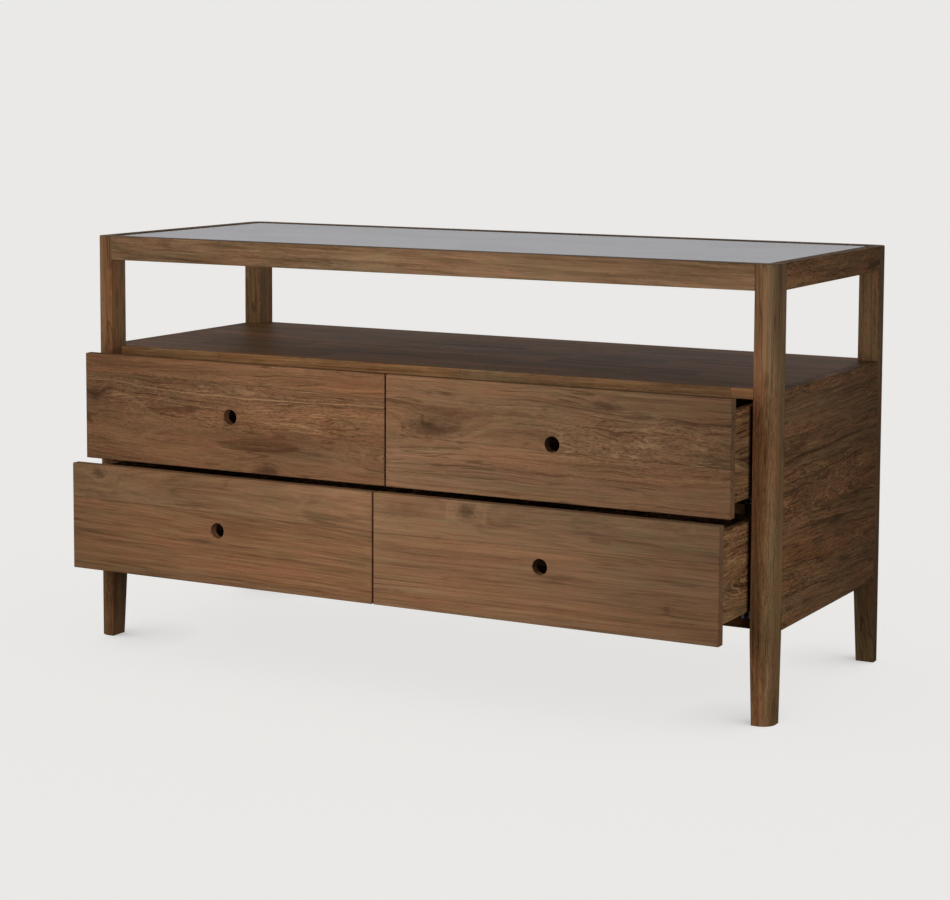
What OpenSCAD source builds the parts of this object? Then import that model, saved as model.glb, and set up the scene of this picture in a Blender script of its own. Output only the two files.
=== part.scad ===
// A low dresser on four full-height legs: a framed glass top, an open bay under it,
// and a case below with four drawers, which slide on pairs of lipped steel runners.
// Origin: on the floor, under the centre of the four legs. +X right, -Y front, +Z up.

/* [Overall] */
// Width over the legs
case_w = 1400; // [1200:10:1700]
// Depth over the legs
case_d = 560; // [540:10:680]
// Height over the top frame
case_h = 780; // [740:10:900]
// Height of the case's underside above the floor
floor_gap = 158; // [120:1:200]
// Height of the top of the shelf board above the floor
shelf_top = 567; // [540:1:600]
// Eased edge of legs, rails and boards
edge_ease = 0.6; // [0.2:0.1:1]

/* [Legs] */
// Leg size along the front
leg_w = 40; // [38:1:50]
// Leg size from front to back
leg_d = 44; // [42:1:60]
// Radius of the outer corner of a leg
leg_corner_r = 24; // [6:1:30]
// Foot size along the front
foot_w = 35; // [30:1:38]
// Foot size from front to back
foot_d = 37; // [30:1:42]

/* [Top frame] */
// Height of the top rails
rail_h = 45; // [40:1:70]
// Thickness of the top rails
rail_t = 38; // [34:1:40]
// Wood strip that shows round the glass
rim_w = 25; // [18:1:28]
// Thickness of the glass
glass_t = 6; // [4:1:8]
// Depth of the glass surface below the top of the frame
glass_recess = 1; // [0:0.5:2]
// Gap between the edge of the glass and the frame
glass_gap = 0.5; // [0.3:0.1:2]
// Diameter of the pads under the glass
pad_d = 10; // [6:1:12]
// Thickness of the pads under the glass
pad_t = 1; // [0.5:0.5:2]
// Distance of the outer pads on a long rail from its middle
pad_spread = 450; // [200:10:550]

/* [Case boards] */
// Thickness of the shelf board, the bottom board and the mid boards
board_t = 18; // [16:1:25]
// Thickness of the side panels
panel_t = 20; // [18:1:24]
// Thickness of the centre divider
divider_t = 20; // [16:1:26]
// Distance of the boards' front edges behind the front of the legs
board_front_in = 30; // [28:1:40]
// Distance of the boards' back edges inside the back of the legs
board_back_in = 4; // [2:1:5]
// Thickness of the back panel
back_t = 8; // [6:1:10]
// Distance of the back panel inside the back of the legs
back_in = 10; // [9:1:16]
// Depth of the grooves that hold the back panel
back_groove_d = 6; // [4:1:9]
// Gap between the back panel and its grooves, on each side
back_groove_gap = 0.2; // [0.1:0.1:0.5]
// Gap between the edge of the back panel and the bottom of its groove
back_edge_gap = 0.5; // [0.3:0.1:1]
// Depth to which a mid board is housed in the centre divider
housing_d = 5; // [2:1:7]
// Width by which a mid board's front corner is cut back beside the leg
mid_notch_w = 24; // [0:1:24]

/* [Drawer fronts] */
// Thickness of a drawer front
front_t = 18; // [16:1:22]
// Distance of a closed front behind the front of the legs
front_in = 10; // [6:1:11]
// Gap between the left and the right fronts
centre_gap = 3; // [2:1:6]
// Gap between a front and a leg
leg_gap = 2; // [1:0.5:4]
// Gap between the upper and the lower fronts
row_gap = 4; // [2:1:8]
// Distance of the upper fronts below the top of the shelf board
front_top_gap = 3; // [1:1:8]
// Distance of the lower fronts above the underside of the case
front_bottom_gap = 2; // [0:1:8]
// Eased edge of a drawer front
front_ease = 1; // [0.4:0.1:2]
// Diameter of the finger hole
hole_d = 28; // [20:1:40]
// Eased rim of the finger hole
hole_ease = 0.6; // [0.2:0.1:1.5]

/* [Drawer boxes] */
// Thickness of the side boards and the back board of a box
box_t = 12; // [10:1:15]
// Length of the side boards
box_l = 460; // [440:5:480]
// Gap between a side board and the leg or the divider beside it
side_gap = 8; // [6:0.5:12]
// Gap above a box
head_gap = 7; // [4:1:20]
// Thickness of the bottom board of a box
floor_t = 6; // [4:1:8]
// Height of the bottom board above the lower edge of the sides
floor_up = 12; // [11:1:20]
// Depth of the grooves for the bottom board
floor_groove_d = 6; // [3:0.5:7]
// Gap between the bottom board of a box and its grooves
floor_groove_gap = 0.2; // [0.1:0.1:0.4]

/* [Runners] */
// Length of a runner
runner_l = 450; // [400:10:450]
// Height of a runner, from the board below to the side board
runner_h = 15; // [14:0.5:20]
// Width of the channel
channel_w = 22; // [21:0.5:24]
// Height of the channel
channel_h = 10; // [8:0.5:12]
// Sheet thickness of the channel
channel_t = 1.2; // [0.8:0.1:1.5]
// Width of each lip of the channel
lip_w = 3; // [1.5:0.1:3.2]
// Sheet thickness of the slider
slider_t = 1.5; // [1:0.1:1.6]
// Width of the slider's crown, under the side board
crown_w = 12; // [11.5:0.1:12.5]
// Running gap under the slider
run_gap = 0.3; // [0.2:0.1:0.5]
// Running gap between the slider and the walls and lips of the channel
play = 0.45; // [0.3:0.05:0.6]
// Distance of the runners behind the front edges of the boards
runner_in = 4; // [2:1:8]
// Distance of a slider's front end behind the front end of its channel, drawer closed
slider_in = 125; // [0:5:125]

/* [Fasteners] */
// Diameter of the case dowels
dowel_d = 8; // [6:0.5:9]
// Length of the case dowels
dowel_l = 36; // [28:1:38]
// Depth of a dowel in the face of a board
dowel_face_d = 12; // [8:1:13]
// Diameter of the dowels of a drawer box
pin_d = 6; // [5:0.5:7]
// Length of the dowels of a drawer box
pin_l = 24; // [20:1:30]
// Depth of such a dowel in the face of a board
pin_face_d = 8; // [6:1:9]
// Gap round a dowel or a screw in its hole
hole_gap = 0.1; // [0.05:0.05:0.15]
// Spare depth of a dowel hole
hole_spare = 1; // [0.5:0.5:1.5]
// Height of the lower dowel of a top rail above its underside
rail_dowel_up = 12; // [10:1:13]
// Height step between the two dowels of a top rail
rail_dowel_step = 18; // [12:1:18]
// Distance of the outer dowels of the boards from the middle of the case
dowel_spread = 150; // [100:5:180]
// Distance of the outer dowels of a side panel from its ends
panel_dowel_in = 60; // [40:1:80]
// Distance of the outer dowels of a drawer box from its upper and lower edge
pin_in = 35; // [32:1:45]
// Shank diameter of the runner screws
screw_d = 3.5; // [3:0.1:4]
// Length of the runner screws under the head
screw_l = 10; // [8:0.5:11]
// Head diameter of the runner screws
screw_head_d = 7; // [5.5:0.5:8]
// Head height of the runner screws
screw_head_h = 2; // [1:0.5:3]
// Distance of the outer runner screws from the ends of a runner
screw_in = 40; // [20:5:80]

/* [Drawer positions] */
// Travel of a drawer from closed to its stop
travel = 330; // [250:5:340]
// How far the upper drawers are pulled out
upper_pull = 96; // [0:1:330]
// How far the lower drawers are pulled out
lower_pull = 139; // [0:1:330]

/* [Hidden] */
$fn = 64;
cut = 1;

// Left and right, front and back
RIGHT = 1;
LEFT = -1;
FRONT = -1;
BACK = 1;
LOWER = 0;
UPPER = 1;

// Inner faces of the legs, the side panels and the divider
leg_x = case_w / 2 - leg_w;
leg_y = case_d / 2 - leg_d;
panel_x = case_w / 2 - panel_t;
divider_x = divider_t / 2;

// Levels of the case boards
rail_z = case_h - rail_h;
shelf_z = shelf_top - board_t;
bottom_top = floor_gap + board_t;

// Drawer fronts: two equal rows between the shelf and the underside of the case
lower_front_z = floor_gap + front_bottom_gap;
front_h = (shelf_top - front_top_gap - lower_front_z - row_gap) / 2;
upper_front_z = lower_front_z + front_h + row_gap;
mid_z = upper_front_z - row_gap / 2 - board_t / 2;
front_x0 = centre_gap / 2;
front_x1 = leg_x - leg_gap;
front_y = -case_d / 2 + front_in;
front_back_y = front_y + front_t;

// Edges of the boards and the back panel, from front to back
board_y0 = -case_d / 2 + board_front_in;
board_y1 = case_d / 2 - board_back_in;
back_y1 = case_d / 2 - back_in;
back_y0 = back_y1 - back_t;

// The pocket for the glass, and the glass over its pads
pocket_x = case_w / 2 - rim_w;
pocket_y = case_d / 2 - rim_w;
glass_z = case_h - glass_recess - glass_t;
pocket_z = glass_z - pad_t;

// Drawer boxes: both rows are as high as the lower opening allows
box_h = mid_z - bottom_top - runner_h - head_gap;
box_y1 = front_back_y + box_l;
outer_side_x = leg_x - side_gap - box_t / 2;
inner_side_x = divider_x + side_gap + box_t / 2;
SIDE_CENTRES = [inner_side_x, outer_side_x];

// Runners: levels above the board that carries them
runner_y = board_y0 + runner_in;
runner_y1 = runner_y + runner_l;
slider_y = runner_y + slider_in;
slider_z = channel_t + run_gap;
slider_w = channel_w - 2 * channel_t - 2 * play;
upstand_top = channel_h - channel_t - play;
CHANNEL_SCREW_Y = [runner_y + screw_in, (runner_y + runner_y1) / 2, runner_y1 - screw_in];
SLIDER_SCREW_Y = [slider_y + screw_in, (slider_y + runner_y1) / 2, runner_y1 - screw_in];

// Dowel places
RAIL_DOWEL_Z = [rail_z + rail_dowel_up, rail_z + rail_dowel_up + rail_dowel_step];
PANEL_DOWEL_Z = [floor_gap + panel_dowel_in, (floor_gap + shelf_top) / 2, shelf_top - panel_dowel_in];
BOARD_DOWEL_Y = [-dowel_spread, 0, dowel_spread];

// Row levels and pulls
function front_z(row) = row == UPPER ? upper_front_z : lower_front_z;
function row_floor(row) = row == UPPER ? mid_z + board_t : bottom_top;
function box_z(row) = row_floor(row) + runner_h;
function pull(row) = min(travel, row == UPPER ? upper_pull : lower_pull);
function pin_z(row) = [box_z(row) + pin_in, box_z(row) + box_h / 2, box_z(row) + box_h - pin_in];

// Rotation that turns +Z towards one of the six axis directions
function turn(dir) =
    dir.x != 0 ? [0, 90 * dir.x, 0]
    : dir.y != 0 ? [-90 * dir.y, 0, 0]
    : [dir.z > 0 ? 0 : 180, 0, 0];

// Colours
walnut_brown = [0.47, 0.33, 0.24];
front_brown = [0.5, 0.36, 0.25];
box_brown = [0.42, 0.32, 0.24];
smoked = [0.45, 0.45, 0.47, 0.8];
steel = [0.72, 0.73, 0.75];
beech = [0.8, 0.68, 0.5];
clear = [0.85, 0.87, 0.88];

DRAWERS = [
    ["upper_left", LEFT, UPPER],
    ["upper_right", RIGHT, UPPER],
    ["lower_left", LEFT, LOWER],
    ["lower_right", RIGHT, LOWER],
];
CASE_NODES = [
    "leg_front_left", "leg_front_right", "leg_back_left", "leg_back_right",
    "top_rail_front", "top_rail_back", "top_rail_left", "top_rail_right",
    "glass_top", "glass_pads",
    "shelf_board", "bottom_board", "side_panel_left", "side_panel_right",
    "centre_divider", "mid_board_left", "mid_board_right", "back_panel",
    "rail_dowels", "case_dowels", "channel_screws",
];
DRAWER_NODES = [
    "channels", "front", "side_outer", "side_inner", "back", "bottom",
    "sliders", "slider_screws", "dowels",
];

// Moves what is modelled on the right or at the back to the asked side or end
module on_side(side) mirror([side == LEFT ? 1 : 0, 0, 0]) children();
module on_end(end) mirror([0, end == FRONT ? 1 : 0, 0]) children();

// A rectangle from the origin, with its corners cut off at 45 degrees
module eased_rectangle(w, h, e)
    polygon([[e, 0], [w - e, 0], [w, e], [w, h - e], [w - e, h], [e, h], [0, h - e], [0, e]]);

// A rectangular board between two corners, with all its edges eased
module board(lo, hi, e = edge_ease) {
    size = hi - lo;
    translate(lo) intersection() {
        linear_extrude(size.z) eased_rectangle(size.x, size.y, e);
        rotate([90, 0, 0]) translate([0, 0, -size.y])
            linear_extrude(size.y) eased_rectangle(size.x, size.z, e);
        rotate([90, 0, 90]) linear_extrude(size.x) eased_rectangle(size.y, size.z, e);
    }
}

// A plain box between two corners
module space(lo, hi) translate(lo) cube(hi - lo);

// A dowel across a joint face: behind and ahead are its depths on the two sides of the face.
// With bore set, it is the hole for the dowel.
module dowel(at, dir, d, behind, ahead, bore = false) {
    spare = bore ? hole_spare : 0;
    translate(at) rotate(turn(dir)) translate([0, 0, -behind - spare])
        cylinder(d = d + (bore ? 2 * hole_gap : 0), h = behind + ahead + 2 * spare);
}

// A pan-head screw whose head rests on the face at its place and whose shank points along dir
module screw(at, dir) {
    translate(at) rotate(turn(dir)) {
        translate([0, 0, -screw_head_h]) cylinder(d = screw_head_d, h = screw_head_h);
        cylinder(d = screw_d, h = screw_l);
    }
}

// The hole of such a screw, through the face that its head rests on
module screw_hole(at, dir)
    translate(at) rotate(turn(dir)) translate([0, 0, -cut])
        cylinder(d = screw_d + 2 * hole_gap, h = screw_l + 2 * cut);

// A case dowel that lies half in each of the two pieces it joins
module middle_dowel(at, dir, bore) dowel(at, dir, dowel_d, dowel_l / 2, dowel_l / 2, bore);

// The four dowels between the right leg of one end and its two top rails
module leg_rail_dowels(end, bore = false) {
    for (z = RAIL_DOWEL_Z) {
        middle_dowel([leg_x, end * (case_d / 2 - rail_t / 2), z], [1, 0, 0], bore);
        middle_dowel([case_w / 2 - rail_t / 2, end * leg_y, z], [0, end, 0], bore);
    }
}

// The dowels between the right side panel and the leg at one end
module leg_panel_dowels(end, bore = false) {
    for (z = PANEL_DOWEL_Z)
        middle_dowel([case_w / 2 - panel_t / 2, end * leg_y, z], [0, end, 0], bore);
}

// The dowels between a board at level z and the right side panel
module board_dowels(z, bore = false) {
    for (y = BOARD_DOWEL_Y)
        dowel([panel_x, y, z + board_t / 2], [1, 0, 0], dowel_d, dowel_l - dowel_face_d, dowel_face_d, bore);
}

// The dowels between the centre divider and the boards below and above it
module divider_dowels(bore = false) {
    for (y = BOARD_DOWEL_Y) {
        dowel([0, y, bottom_top], [0, 0, -1], dowel_d, dowel_l - dowel_face_d, dowel_face_d, bore);
        dowel([0, y, shelf_z], [0, 0, 1], dowel_d, dowel_l - dowel_face_d, dowel_face_d, bore);
    }
}

// The dowels of the right drawer box of a row: sides to front, and sides to back
module box_dowels(row, bore = false) {
    for (x = SIDE_CENTRES, z = pin_z(row))
        dowel([x, front_back_y, z], [0, -1, 0], pin_d, pin_l - pin_face_d, pin_face_d, bore);
    for (x = SIDE_CENTRES, z = [pin_z(row)[1], pin_z(row)[2]]) {
        out = x == outer_side_x ? 1 : -1;
        at = [x - out * box_t / 2, box_y1 - box_t / 2, z];
        dowel(at, [out, 0, 0], pin_d, pin_l - pin_face_d, pin_face_d, bore);
    }
}

// The waste of a leg's taper: the inner face runs in from its full size to the foot's size
module taper_waste(full, foot, length)
    rotate([90, 0, 0]) translate([0, 0, -length - cut]) linear_extrude(length + 2 * cut)
        polygon([
            [foot - edge_ease, -cut],
            [foot - edge_ease, 0],
            [foot, edge_ease],
            [full, floor_gap],
            [full + cut, floor_gap],
            [full + cut, -cut],
        ]);

// A leg with its outer corner at the origin, running inwards along +X and +Y
module leg_blank() {
    r = leg_corner_r;
    difference() {
        board([0, 0, 0], [leg_w, leg_d, case_h]);
        difference() {
            space([-cut, -cut, -cut], [r, r, case_h + cut]);
            translate([r, r, 0]) rotate_extrude() polygon([
                [0, 0],
                [r - edge_ease, 0],
                [r, edge_ease],
                [r, case_h - edge_ease],
                [r - edge_ease, case_h],
                [0, case_h],
            ]);
        }
        taper_waste(leg_w, foot_w, leg_d);
        mirror([1, -1, 0]) taper_waste(leg_d, foot_d, leg_w);
    }
}

// The pocket that the glass lies in, cut into the rails and the legs
module glass_pocket() space([-pocket_x, -pocket_y, pocket_z], [pocket_x, pocket_y, case_h + cut]);

// The space that the back panel's grooves take in the legs and the boards
module back_groove()
    space(
        [-leg_x - back_groove_d, back_y0 - back_groove_gap, bottom_top - back_groove_d],
        [leg_x + back_groove_d, back_y1 + back_groove_gap, shelf_z + back_groove_d]
    );

// The corners that the right legs take out of a board
module leg_notches(z)
    for (end = [FRONT, BACK])
        on_end(end) space([leg_x, leg_y, z - cut], [case_w, case_d, z + board_t + cut]);

module leg(side, end)
    color(walnut_brown) on_side(side) difference() {
        on_end(end) translate([case_w / 2, case_d / 2, 0]) rotate(180) leg_blank();
        glass_pocket();
        leg_rail_dowels(end, true);
        leg_panel_dowels(end, true);
        if (end == BACK) back_groove();
    }

module long_rail(end)
    color(walnut_brown) difference() {
        on_end(end) board([-leg_x, case_d / 2 - rail_t, rail_z], [leg_x, case_d / 2, case_h]);
        glass_pocket();
        for (side = [LEFT, RIGHT]) on_side(side) leg_rail_dowels(end, true);
    }

module side_rail(side)
    color(walnut_brown) on_side(side) difference() {
        board([case_w / 2 - rail_t, -leg_y, rail_z], [case_w / 2, leg_y, case_h]);
        glass_pocket();
        for (end = [FRONT, BACK]) leg_rail_dowels(end, true);
    }

module glass_top()
    color(smoked) board(
        [-pocket_x + glass_gap, -pocket_y + glass_gap, glass_z],
        [pocket_x - glass_gap, pocket_y - glass_gap, glass_z + glass_t],
        edge_ease
    );

module glass_pads() {
    ledge_x = (pocket_x + case_w / 2 - rail_t) / 2;
    ledge_y = (pocket_y + case_d / 2 - rail_t) / 2;
    color(clear) {
        for (x = [-pad_spread, 0, pad_spread], y = [-ledge_y, ledge_y])
            translate([x, y, pocket_z]) cylinder(d = pad_d, h = pad_t);
        for (x = [-ledge_x, ledge_x])
            translate([x, 0, pocket_z]) cylinder(d = pad_d, h = pad_t);
    }
}

module shelf_board()
    color(walnut_brown) difference() {
        board([-panel_x, board_y0, shelf_z], [panel_x, board_y1, shelf_top]);
        for (side = [LEFT, RIGHT]) on_side(side) {
            leg_notches(shelf_z);
            board_dowels(shelf_z, true);
        }
        divider_dowels(true);
        back_groove();
    }

module bottom_board()
    color(walnut_brown) difference() {
        board([-panel_x, board_y0, floor_gap], [panel_x, board_y1, bottom_top]);
        for (side = [LEFT, RIGHT]) on_side(side) {
            leg_notches(floor_gap);
            board_dowels(floor_gap, true);
            channel_screw_holes(LOWER);
        }
        divider_dowels(true);
        back_groove();
    }

module side_panel(side)
    color(walnut_brown) on_side(side) difference() {
        board([panel_x, -leg_y, floor_gap], [case_w / 2, leg_y, shelf_top]);
        for (end = [FRONT, BACK]) leg_panel_dowels(end, true);
        for (z = [floor_gap, mid_z, shelf_z]) board_dowels(z, true);
    }

module centre_divider()
    color(walnut_brown) difference() {
        board([-divider_x, board_y0, bottom_top], [divider_x, back_y0, shelf_z]);
        for (side = [LEFT, RIGHT]) on_side(side) space(
            [divider_x - housing_d, board_y0 - cut, mid_z],
            [divider_x + cut, back_y0 + cut, mid_z + board_t]
        );
        divider_dowels(true);
    }

module mid_board(side)
    color(walnut_brown) on_side(side) difference() {
        board([divider_x - housing_d, board_y0, mid_z], [panel_x, back_y0, mid_z + board_t]);
        leg_notches(mid_z);
        space(
            [leg_x - mid_notch_w, board_y0 - cut, mid_z - cut],
            [case_w, -leg_y, mid_z + board_t + cut]
        );
        board_dowels(mid_z, true);
        channel_screw_holes(UPPER);
    }

module back_panel() {
    reach = back_groove_d - back_edge_gap;
    color(walnut_brown) space(
        [-leg_x - reach, back_y0, bottom_top - reach],
        [leg_x + reach, back_y1, shelf_z + reach]
    );
}

module rail_dowels()
    color(beech) for (side = [LEFT, RIGHT], end = [FRONT, BACK]) on_side(side) leg_rail_dowels(end);

module case_dowels()
    color(beech) {
        for (side = [LEFT, RIGHT]) on_side(side) {
            for (end = [FRONT, BACK]) leg_panel_dowels(end);
            for (z = [floor_gap, mid_z, shelf_z]) board_dowels(z);
        }
        divider_dowels();
    }

// Places of the screws of the right pair of channels in a row
module channel_screw_holes(row)
    for (x = SIDE_CENTRES, y = CHANNEL_SCREW_Y)
        screw_hole([x, y, row_floor(row) + channel_t], [0, 0, -1]);

module channel_screws()
    color(steel) for (side = [LEFT, RIGHT], row = [LOWER, UPPER], x = SIDE_CENTRES, y = CHANNEL_SCREW_Y)
        on_side(side) screw([x, y, row_floor(row) + channel_t], [0, 0, -1]);

// A profile in the plane across the runner, extruded from y0 to the back end of the runner
module runner_profile(y0)
    translate([0, runner_y1, 0]) rotate([90, 0, 0]) linear_extrude(runner_y1 - y0) children();

module channel_outline()
    difference() {
        translate([-channel_w / 2, 0]) square([channel_w, channel_h]);
        translate([-channel_w / 2 + channel_t, channel_t])
            square([channel_w - 2 * channel_t, channel_h - 2 * channel_t]);
        translate([-channel_w / 2 + channel_t + lip_w, channel_t])
            square([channel_w - 2 * channel_t - 2 * lip_w, channel_h]);
    }

// The slider: a crown under the side board, and feet with upstands under the channel's lips
module slider_outline()
    difference() {
        union() {
            translate([-slider_w / 2, slider_z]) square([slider_w, upstand_top - slider_z]);
            translate([-crown_w / 2, slider_z]) square([crown_w, runner_h - slider_z]);
        }
        translate([-crown_w / 2 + slider_t, slider_z - cut])
            square([crown_w - 2 * slider_t, runner_h - slider_t - slider_z + cut]);
        for (side = [LEFT, RIGHT]) mirror([side == LEFT ? 1 : 0, 0])
            translate([crown_w / 2, slider_z + slider_t])
                square([slider_w / 2 - crown_w / 2 - slider_t, channel_h]);
    }

module channels(side, row)
    color(steel) on_side(side) difference() {
        for (x = SIDE_CENTRES) translate([x, 0, row_floor(row)])
            runner_profile(runner_y) channel_outline();
        channel_screw_holes(row);
    }

// Moves what is modelled as a closed right drawer to its side and out to its rest position
module drawer(side, row) on_side(side) translate([0, -pull(row), 0]) children();

module slider_screw_places(row)
    for (x = SIDE_CENTRES, y = SLIDER_SCREW_Y) translate([x, y, box_z(row) - slider_t]) children();

module drawer_front(side, row) {
    hole_x = (front_x0 + front_x1) / 2;
    hole_z = front_z(row) + front_h / 2;
    color(front_brown) drawer(side, row) difference() {
        board(
            [front_x0, front_y, front_z(row)],
            [front_x1, front_back_y, front_z(row) + front_h],
            front_ease
        );
        translate([hole_x, front_y, hole_z]) rotate([-90, 0, 0]) rotate_extrude() polygon([
            [0, -cut],
            [hole_d / 2 + hole_ease + cut, -cut],
            [hole_d / 2, hole_ease],
            [hole_d / 2, front_t - hole_ease],
            [hole_d / 2 + hole_ease + cut, front_t + cut],
            [0, front_t + cut],
        ]);
        box_dowels(row, true);
        drawer_floor_groove(row);
    }
}

// The groove for the bottom board of the right drawer, in its sides and its front
module drawer_floor_groove(row) {
    from_centre = box_t / 2 - floor_groove_d;
    low_z = box_z(row) + floor_up - floor_groove_gap;
    high_z = box_z(row) + floor_up + floor_t + floor_groove_gap;
    space(
        [inner_side_x + from_centre, front_back_y - floor_groove_d, low_z],
        [outer_side_x - from_centre, box_y1 + cut, high_z]
    );
}

module drawer_side(side, row, x)
    color(box_brown) drawer(side, row) difference() {
        board([x - box_t / 2, front_back_y, box_z(row)], [x + box_t / 2, box_y1, box_z(row) + box_h]);
        drawer_floor_groove(row);
        box_dowels(row, true);
        slider_screw_places(row) screw_hole([0, 0, 0], [0, 0, 1]);
    }

module drawer_back(side, row)
    color(box_brown) drawer(side, row) difference() {
        board(
            [inner_side_x + box_t / 2, box_y1 - box_t, box_z(row) + floor_up + floor_t + floor_groove_gap],
            [outer_side_x - box_t / 2, box_y1, box_z(row) + box_h]
        );
        box_dowels(row, true);
    }

module drawer_bottom(side, row) {
    reach = floor_groove_d - back_edge_gap;
    color(box_brown) drawer(side, row) space(
        [inner_side_x + box_t / 2 - reach, front_back_y - reach, box_z(row) + floor_up],
        [outer_side_x - box_t / 2 + reach, box_y1, box_z(row) + floor_up + floor_t]
    );
}

module sliders(side, row)
    color(steel) drawer(side, row) difference() {
        for (x = SIDE_CENTRES) translate([x, 0, row_floor(row)])
            runner_profile(slider_y) slider_outline();
        slider_screw_places(row) screw_hole([0, 0, 0], [0, 0, 1]);
    }

module slider_screws(side, row)
    color(steel) drawer(side, row) slider_screw_places(row) screw([0, 0, 0], [0, 0, 1]);

module drawer_dowels(side, row)
    color(beech) drawer(side, row) box_dowels(row);

leg(LEFT, FRONT);  // leg_front_left
leg(RIGHT, FRONT);  // leg_front_right
leg(LEFT, BACK);  // leg_back_left
leg(RIGHT, BACK);  // leg_back_right
long_rail(FRONT);  // top_rail_front
long_rail(BACK);  // top_rail_back
side_rail(LEFT);  // top_rail_left
side_rail(RIGHT);  // top_rail_right
glass_top();
glass_pads();
shelf_board();
bottom_board();
side_panel(LEFT);  // side_panel_left
side_panel(RIGHT);  // side_panel_right
centre_divider();
mid_board(LEFT);  // mid_board_left
mid_board(RIGHT);  // mid_board_right
back_panel();
rail_dowels();
case_dowels();
channel_screws();
for (d = DRAWERS) {
    channels(d[1], d[2]);
    drawer_front(d[1], d[2]);
    drawer_side(d[1], d[2], outer_side_x);
    drawer_side(d[1], d[2], inner_side_x);
    drawer_back(d[1], d[2]);
    drawer_bottom(d[1], d[2]);
    sliders(d[1], d[2]);
    slider_screws(d[1], d[2]);
    drawer_dowels(d[1], d[2]);
}
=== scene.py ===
# %% [markdown]
# # A low dresser in dark stained wood
# The dresser stands on four full-height legs. A frame on top holds a sheet of smoked glass, below it
# is an open bay, and the case holds four drawers on steel runners. Every piece, down to the screws,
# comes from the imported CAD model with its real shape, so this script gives each one its finish and
# sets up the camera, the floor and the light. Everything is in metres: +X right, -Y front, +Z up.

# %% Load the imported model
import math

import bpy
from mathutils import Euler, Matrix, Vector


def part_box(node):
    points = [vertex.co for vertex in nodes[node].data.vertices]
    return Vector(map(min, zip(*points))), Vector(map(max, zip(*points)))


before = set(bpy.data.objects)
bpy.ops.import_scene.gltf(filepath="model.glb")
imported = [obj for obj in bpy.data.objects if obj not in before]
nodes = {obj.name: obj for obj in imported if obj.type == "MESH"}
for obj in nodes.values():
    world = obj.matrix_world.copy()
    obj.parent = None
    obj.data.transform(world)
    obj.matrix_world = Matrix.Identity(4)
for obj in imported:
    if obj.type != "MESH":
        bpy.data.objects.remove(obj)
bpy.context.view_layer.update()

# %% [markdown]
# ## Camera
# The photograph was taken with a long lens a little above the top, from the right of the front. Its
# vertical lines hardly converge, so that lens was shifted down instead of being tilted. Views from
# other sides keep the shift and would cut the top off, so this camera takes part of it as tilt. The
# numbers come from matching the corners of legs, rails and drawers with the real sizes.

# %% Set the camera
photo_w, photo_h = 950, 900
focal_length_px = 2396.6
axis_row_px = 307.5
camera_place = Vector((2.1366, -3.9793, 1.0811))
camera_azimuth = math.radians(28.437)
camera_tilt = math.radians(5.423)
camera_roll = math.radians(-0.241)

sin_a, cos_a = math.sin(camera_azimuth), math.cos(camera_azimuth)
sin_tilt, cos_tilt = math.sin(camera_tilt), math.cos(camera_tilt)
looks_along = Vector((-sin_a * cos_tilt, cos_a * cos_tilt, -sin_tilt))
level_right = Vector((cos_a, sin_a, 0))
level_up = level_right.cross(looks_along)
camera_right = math.cos(camera_roll) * level_right - math.sin(camera_roll) * level_up
camera_up = math.sin(camera_roll) * level_right + math.cos(camera_roll) * level_up

camera = bpy.data.objects.new("camera", bpy.data.cameras.new("camera"))
bpy.context.scene.collection.objects.link(camera)
camera.data.sensor_width = 36
camera.data.lens = focal_length_px * camera.data.sensor_width / photo_w
camera.data.shift_y = (axis_row_px - photo_h / 2) / photo_w
turned = Matrix((camera_right, camera_up, -looks_along)).transposed().to_4x4()
camera.matrix_world = Matrix.Translation(camera_place) @ turned
bpy.context.scene.camera = camera
print("lens", round(camera.data.lens, 2), "mm, shift", round(camera.data.shift_y, 3))

# %% [markdown]
# ## Node helpers
# A shader is a chain of small sums. Written out node by node it gets long, so these helpers make
# one node each, feed it either a number or another node's output, and hand back its output. A sum
# then reads like a line of arithmetic.


# %% Helpers that make one node
def feed(tree, socket, value):
    if isinstance(value, bpy.types.NodeSocket):
        tree.links.new(value, socket)
    else:
        socket.default_value = value


def calc(tree, operation, *values, clamp=False):
    node = tree.nodes.new("ShaderNodeMath")
    node.operation = operation
    node.use_clamp = clamp
    for socket, value in zip(node.inputs, values):
        feed(tree, socket, value)
    return node.outputs[0]


def vector_calc(tree, operation, *values):
    node = tree.nodes.new("ShaderNodeVectorMath")
    node.operation = operation
    for socket, value in zip(node.inputs, values):
        feed(tree, socket, value)
    return node.outputs["Value" if operation in ("LENGTH", "DOT_PRODUCT") else "Vector"]


def vector_scale(tree, vector, amount):
    node = tree.nodes.new("ShaderNodeVectorMath")
    node.operation = "SCALE"
    feed(tree, node.inputs["Vector"], vector)
    feed(tree, node.inputs["Scale"], amount)
    return node.outputs["Vector"]


def vector_of(tree, x=0.0, y=0.0, z=0.0):
    node = tree.nodes.new("ShaderNodeCombineXYZ")
    for socket, value in zip(node.inputs, (x, y, z)):
        feed(tree, socket, value)
    return node.outputs[0]


def parts_of(tree, vector):
    node = tree.nodes.new("ShaderNodeSeparateXYZ")
    feed(tree, node.inputs[0], vector)
    return node.outputs


print("node helpers ready")

# %% [markdown]
# ## Noise, steps and groups
# Nothing on wood repeats, so nearly every finish here starts from noise. A noise is stretched: its
# three numbers say how many features a metre holds along X, Y and Z. A smooth step makes soft
# patches of it. What several finishes share becomes a node group, which has named inputs and
# outputs, is built once and placed many times.


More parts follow.
